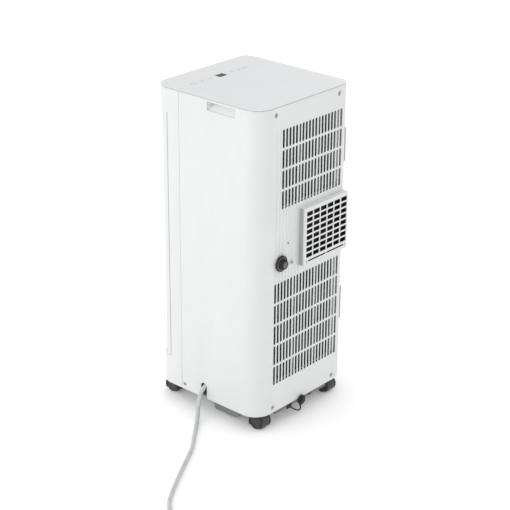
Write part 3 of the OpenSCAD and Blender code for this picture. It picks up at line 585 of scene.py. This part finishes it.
def coil_tie():
    """A rubber band that holds the turns together."""
    bm = bmesh.new()
    half = CORD_D + 1.3
    side = COIL_AT[0] + (COIL_R_OUT + COIL_R_IN) / 2
    box_between(
        bm, (side - half, COIL_AT[1] - TIE_HALF_WIDTH, 0.05),
        (side + half, COIL_AT[1] + TIE_HALF_WIDTH, 2 * CORD_D + 1.4),
    )
    lengthways = [e for e in bm.edges if abs(e.verts[0].co.y - e.verts[1].co.y) > 1 * MM]
    round_edges(bm, lengthways, 4.2, 6, clamp=False)
    ends = [f for f in bm.faces if abs(f.normal.y) > 0.9]
    bmesh.ops.delete(bm, geom=ends, context="FACES_ONLY")
    bmesh.ops.recalc_face_normals(bm, faces=bm.faces)
    bmesh.ops.solidify(bm, geom=bm.faces, thickness=1.1 * MM)
    bmesh.ops.recalc_face_normals(bm, faces=bm.faces)
    return piece("coil_tie", bm, "casing", black_rubber)


strain_relief()
plug_pieces = mains_plug()
tie = coil_tie()


# ---------- casing ----------

eased("rear_shell", "rear_casing", white_abs, 0.5)
eased("front_shell", "front_casing", white_abs, 0.8)
eased("front_panel", "front_cover", white_abs, 0.6)
eased("top_cover", "top_lid", pale_grey_abs, 0.7, sharp=14)
eased("exhaust_collar", "exhaust_surround", pale_grey_abs, 0.7)
eased("exhaust_grille", "exhaust_grid", pale_grey_abs, 0.35)
eased("base_pan", "pan", grey_pp, 0.6)
eased("outlet_flap", "flap", white_abs, 0.5)


def throat_shade():
    """Painted shade of the outlet's throat: a dark box behind the grid, open only at its mouth."""
    bm = bmesh.new()
    box_between(bm, (-117.4, 122.6, 347.2), (10.8, 142.6, 459.6))
    mouth = [f for f in bm.faces if f.normal.y > 0.9]
    bmesh.ops.delete(bm, geom=mouth, context="FACES_ONLY")
    bmesh.ops.solidify(bm, geom=bm.faces, thickness=0.4 * MM)
    bmesh.ops.recalc_face_normals(bm, faces=bm.faces)
    piece("throat_shade", bm, "casing", painted_shade_black)


def pull_tab(name, body, low_z, high_z):
    """A grey rounded cover over a filter's pull tab; its grey is painted shade."""
    bm = bmesh.new()
    box_between(bm, (-139.4, 115.2, low_z), (-124.6, 120.0, high_z))
    round_edges(bm, bm.edges[:], 1.2, 3)
    piece(name, bm, body, tab_shade_grey)


DRAIN_AT = (73, 131, 365)


def upper_plug():
    """The moulded rubber plug, turned about the bore's axis, in place of the plain one."""
    bm = turned([
        (0, -8), (7, -8), (7.9, -7), (7.9, 1.6), (16.0, 1.6), (16.5, 2.1), (16.5, 4.4), (16.0, 5.0),
        (12.0, 5.0), (11.4, 5.4), (11.2, 9.0), (10.8, 9.5), (9.2, 9.5), (9.0, 9.9), (9.0, 12.9),
        (8.5, 13.5), (6.4, 13.5), (6.0, 12.9), (0, 12.9),
    ], axis="Y")
    body = body_of("upper_drain_plug")
    piece("upper_plug", move(bm, *DRAIN_AT), body, black_rubber, ["upper_drain_plug"])


def plug_trim():
    """The lighter grey step and cap of the upper drain plug, on its black rubber body."""
    bm = turned([(0, 12.6), (6.3, 12.6), (6.3, 13.2), (5.8, 13.5), (0, 13.5)], steps=40, axis="Y")
    merge(bm, turned([(11.9, 4.8), (14.0, 4.8), (14.0, 5.15), (11.9, 5.15), (11.9, 4.8)], axis="Y"))
    piece("plug_trim", move(bm, *DRAIN_AT), body_of("upper_drain_plug"), lighter_grey_rubber)


SCREWS = [
    ((91, 127.6, 675.8), (0, 1, 0), 4.4), ((-100, 127.6, 675.8), (0, 1, 0), 4.4),
    ((91, 127.6, 46), (0, 1, 0), 4.4), ((-100, 127.6, 46), (0, 1, 0), 4.4),
    ((40, 131.1, 357), (0, 1, 0), 4.8),
    ((136.1, -73, 46), (1, 0, 0), 3.9), ((-136.1, -73, 46), (-1, 0, 0), 3.9),
]
SHANK = 9.4
CROSS_DEPTH = 0.5


def screws():
    """Domed heads, each on its shank, with black crosses standing in for the cross recesses as painted
    shade.
    """
    heads, crosses = bmesh.new(), bmesh.new()
    for at, axis, radius in SCREWS:
        turn = Vector((0, 0, 1)).rotation_difference(Vector(axis)).to_matrix().to_4x4()
        place = Matrix.Translation([c * MM for c in at]) @ turn
        head = turned([
            (0, -SHANK), (1.4, -SHANK), (2.05, -SHANK + 1), (2.05, -1.5), (radius + 0.3, -1.5),
            (radius + 0.3, -0.8), (radius, -0.7), (radius, 0.7), (radius * 0.93, 1.4),
            (radius * 0.78, 1.9), (radius * 0.5, 2.3), (0, 2.45),
        ], steps=32)
        bmesh.ops.transform(head, matrix=place, verts=head.verts)
        merge(heads, head)
        # A black cross on each head: painted shade of its cross recess.
        cross = bmesh.new()
        for wide, high in ((radius * 0.5, 0.5), (0.5, radius * 0.5)):
            box_between(cross, (-wide, -high, 2.0), (wide, high, 2.0 + CROSS_DEPTH))
        bmesh.ops.transform(cross, matrix=place, verts=cross.verts)
        merge(crosses, cross)
    piece("screw_heads", heads, "casing", zinc_screw, ["casing_screws"])
    piece("screw_recess_shade", crosses, "casing", painted_shade_black)


def band(profile_mm, start_deg, sweep_deg, steps=14):
    """A solid swept part of the way round the X axis, from (radius, along) corners."""
    bm = bmesh.new()
    start = math.radians(start_deg)
    verts = [
        bm.verts.new((x * MM, r * math.cos(start) * MM, r * math.sin(start) * MM)) for r, x in profile_mm
    ]
    for a, b in zip(verts, verts[1:] + verts[:1]):
        bm.edges.new((a, b))
    bmesh.ops.spin(bm, geom=bm.verts[:] + bm.edges[:], cent=(0, 0, 0), axis=(1, 0, 0),
                   angle=math.radians(sweep_deg), steps=steps)
    bmesh.ops.holes_fill(bm, edges=bm.edges, sides=len(profile_mm))
    bmesh.ops.recalc_face_normals(bm, faces=bm.faces)
    return bm


CASTERS = [(107, 110), (-107, 110), (107, -130), (-107, -130)]
AXLE_Z = 15
SKIRT_START_DEG = -38
SKIRT_SWEEP_DEG = 52
JOINT_SWEEP_DEG = 150


def caster_pieces(i, x, y):
    """Twin wheels with a grooved disc and a softer tread, under a rounded hood."""
    disc = [
        (0, 4.1), (14.2, 4.1), (14.6, 4.6), (14.6, 13.8), (14.1, 14.3), (12.6, 14.4), (12.4, 13.5),
        (11.5, 13.5), (11.3, 14.2), (6, 14.4), (5.6, 13.7), (0, 13.7),
    ]
    tread = [(14.4, 4.9), (14.9, 5.1), (15, 5.6), (15, 12.6), (14.9, 13.1), (14.4, 13.4), (14.4, 4.9)]
    wheels, treads = bmesh.new(), bmesh.new()
    for target, profile in ((wheels, disc), (treads, tread)):
        for side in (1, -1):
            half = turned(profile, steps=40, axis="X")
            if side < 0:
                half_turn = Matrix.Rotation(math.pi, 3, "Z")
                bmesh.ops.rotate(half, cent=(0, 0, 0), matrix=half_turn, verts=half.verts)
            merge(target, move(half, x, y, AXLE_Z))
    axle = turned([(0, -5), (2.5, -5), (2.5, 5), (0, 5)], steps=20, axis="X")
    merge(wheels, move(axle, x, y, AXLE_Z))
    node = f"caster_wheels_{i}"
    piece(f"wheel_discs_{i}", wheels, body_of(node), dark_pp, [node])
    piece(f"wheel_treads_{i}", treads, body_of(node), wheel_tread)
    hood = f"caster_hood_{i}"
    eased(hood, f"hood_{i}", dark_pp, 0.6)
    skirt = band(
        [(15.9, -15), (17.4, -15), (17.4, 15), (15.9, 15)], SKIRT_START_DEG, SKIRT_SWEEP_DEG
    )
    piece(f"hood_skirt_{i}", move(skirt, x, y, AXLE_Z), body_of(hood), dark_pp)
    # Black bands on the hood over the wheels' sides: painted shadow of the joint between hood and wheels.
    joint = bmesh.new()
    for low, high in ((-14.0, -11.8), (11.8, 14.0)):
        corners = [(17.1, low), (17.55, low), (17.55, high), (17.1, high)]
        merge(joint, band(corners, SKIRT_START_DEG, JOINT_SWEEP_DEG, 24))
    piece(f"hood_joint_shade_{i}", move(joint, x, y, AXLE_Z), body_of(hood), painted_shade_black)


KEY_XS = (94, 70, 46, -18, -38, -58)
KEY_Y = -82.2
LID_TOP = 694.4
INK = 0.06


def printed_marks():
    """Plain thin rings and bars on the keys' tops."""
    bm = bmesh.new()
    for n, x in enumerate(KEY_XS):
        if n in (0, len(KEY_XS) - 1):
            ring = turned([(5.4, 0), (6.0, 0), (6.0, INK), (5.4, INK), (5.4, 0)], steps=32)
            merge(bm, move(ring, x, KEY_Y, LID_TOP))
        else:
            for half, low, high in ((4, -0.4, 0.4), (2.4, 2.4, 3.1), (2.4, -3.1, -2.4)):
                box_between(bm, (x - half, KEY_Y + low, LID_TOP), (x + half, KEY_Y + high, LID_TOP + INK))
    piece("printed_marks", bm, "casing", icon_ink)


def surround_shade_strips():
    """Grey strips laid on both sides of the surround, where the adapter slides on: painted shade of those
    side walls.
    """
    bm = bmesh.new()
    for side_x in (-120.35, 16.95):
        box_between(bm, (side_x, 132.2, 344), (side_x + 0.4, 141.6, 466))
    piece("surround_shade_strips", bm, "casing", surround_shade_grey)


def shadow_strips():
    """Dark strips laid on the surface beside the casing's upright joint and the front panel's edges:
    painted shade of those joints and edges.
    """
    bm = bmesh.new()
    for side in (-1, 1):
        for low, high in (
            ((136.9, -80.9, 36), (137.6, -79.9, 689)),
            ((136.4, -115.0, 101), (136.95, -114.1, 639)),
            ((128.6, -132.1, 103), (130.2, -131.0, 637)),
        ):
            ends = sorted((side * low[0], side * high[0]))
            box_between(bm, (ends[0], *low[1:]), (ends[1], *high[1:]))
    piece("shadow_strips", bm, "casing", shade_strip_and_rim_grey)


def pan_lip():
    """The pan's lighter rim along the back, and the rubber clips on it that hold the tether."""
    rim = bmesh.new()
    box_between(rim, (-82, 124, 26.8), (82, 130.4, 33.5))
    round_edges(rim, rim.edges[:], 0.5, 2)
    piece("pan_rim", rim, "casing", shade_strip_and_rim_grey)
    clips = bmesh.new()
    box_between(clips, (31, 129, 23.5), (45, 132.4, 31.5))
    box_between(clips, (-32, 130, 27.5), (-25, 131.4, 31.5))
    round_edges(clips, clips.edges[:], 0.9, 3)
    piece("tether_clips", clips, "casing", black_rubber)


def hole_shade():
    """A small dark disc in the hole beside the outlet: painted shade of the hole."""
    bm = turned([(0, -3), (2.1, -3), (2.1, -0.4), (1.8, -0.2), (0, -0.2)], steps=20, axis="Y")
    piece("hole_shade", move(bm, 50, 131, 401), "casing", painted_shade_black)


throat_shade()
pull_tab("upper_tab", "upper_filter", 520.4, 592.6)
pull_tab("lower_tab", "lower_filter", 164.4, 240.6)
upper_plug()
plug_trim()
for number, (caster_x, caster_y) in enumerate(CASTERS, 1):
    caster_pieces(number, caster_x, caster_y)
screws()
printed_marks()
surround_shade_strips()
shadow_strips()
pan_lip()
hole_shade()

cad_finish(white_abs, "outlet_frame")
cad_finish(painted_light_abs, "carry_cups")
cad_finish(pale_grey_abs, "mid_deck", "upper_filter", "lower_filter", "drain_hose",
           *[f"key_{i}" for i in range(1, 7)])
cad_finish(filter_net, "upper_filter_mesh", "lower_filter_mesh")
cad_finish(smoked_acrylic, "display_window")
cad_finish(circuit_laminate, "control_board")
cad_finish(motor_steel, "flap_motor", "cold_motor", "hot_motor", "slinger_motor")
cad_finish(fin_aluminium, "evaporator_fins", "condenser_fins")
cad_finish(copper_tube, "evaporator_tubes", "condenser_tubes", "refrigerant_lines")
cad_finish(duct_foam, "cold_scroll", "hot_scroll")
cad_finish(dark_pp, "cold_impeller", "hot_impeller", "slinger_wheel")
cad_finish(compressor_paint, "compressor", "accumulator")
cad_finish(black_rubber, "compressor_feet", "lower_drain_plug", "plug_tether")
cad_finish(box_plastic, "electrical_box")
cad_finish(capacitor_case, "run_capacitor")


# ---------- floor and light ----------


FLOOR_GLOW = 0.13
FLOOR_HALF_SIZE = 12
SKY_STRENGTH = 0.97


def floor_material():
    """White paper with a trace of its own glow."""
    material, tree, shader, place = finish_material("floor_paper", Roughness=0.9)
    noise = add(tree, "TexNoise", {"Scale": 3.0, "Detail": 2.0}, Vector=place)
    tree.links.new(ramp(tree, noise.outputs["Fac"], [(0.0, linear("#fbfbfb")), (1.0, linear("#fdfdfd"))]),
                   shader.inputs["Base Color"])
    shader.inputs["Emission Color"].default_value = (1, 1, 1, 1)
    shader.inputs["Emission Strength"].default_value = FLOOR_GLOW
    return material


def lay_floor():
    """A wide sheet that only stages the picture."""
    bm = bmesh.new()
    bmesh.ops.create_grid(bm, x_segments=1, y_segments=1, size=FLOOR_HALF_SIZE)
    mesh = bpy.data.meshes.new("floor")
    bm.to_mesh(mesh)
    bm.free()
    mesh.materials.append(floor_material())
    floor = bpy.data.objects.new("floor", mesh)
    scene.collection.objects.link(floor)


def soft_light(name, at, aim, size, watts):
    """A square area light that faces its aim."""
    data = bpy.data.lights.new(name, "AREA")
    data.size = size
    data.energy = watts
    lamp = bpy.data.objects.new(name, data)
    direction = Vector(aim) - Vector(at)
    lamp.matrix_world = Matrix.Translation(at) @ direction.to_track_quat("-Z", "Y").to_matrix().to_4x4()
    scene.collection.objects.link(lamp)


def light_studio():
    """An even white sky, a soft light at the side and a faint one on the far top edge."""
    world = bpy.data.worlds.new("studio")
    world.use_nodes = True
    background = world.node_tree.nodes["Background"]
    background.inputs["Color"].default_value = (1, 1, 1, 1)
    background.inputs["Strength"].default_value = SKY_STRENGTH
    scene.world = world
    scene.view_settings.view_transform = "Standard"
    soft_light("side_key", (2.4, -0.9, 1.1), (0.1, 0, 0.35), 1.6, 12)
    soft_light("far_edge", (-2.2, -0.9, 1.25), (0, 0, 0.69), 1.2, 2.5)


lay_floor()
light_studio()
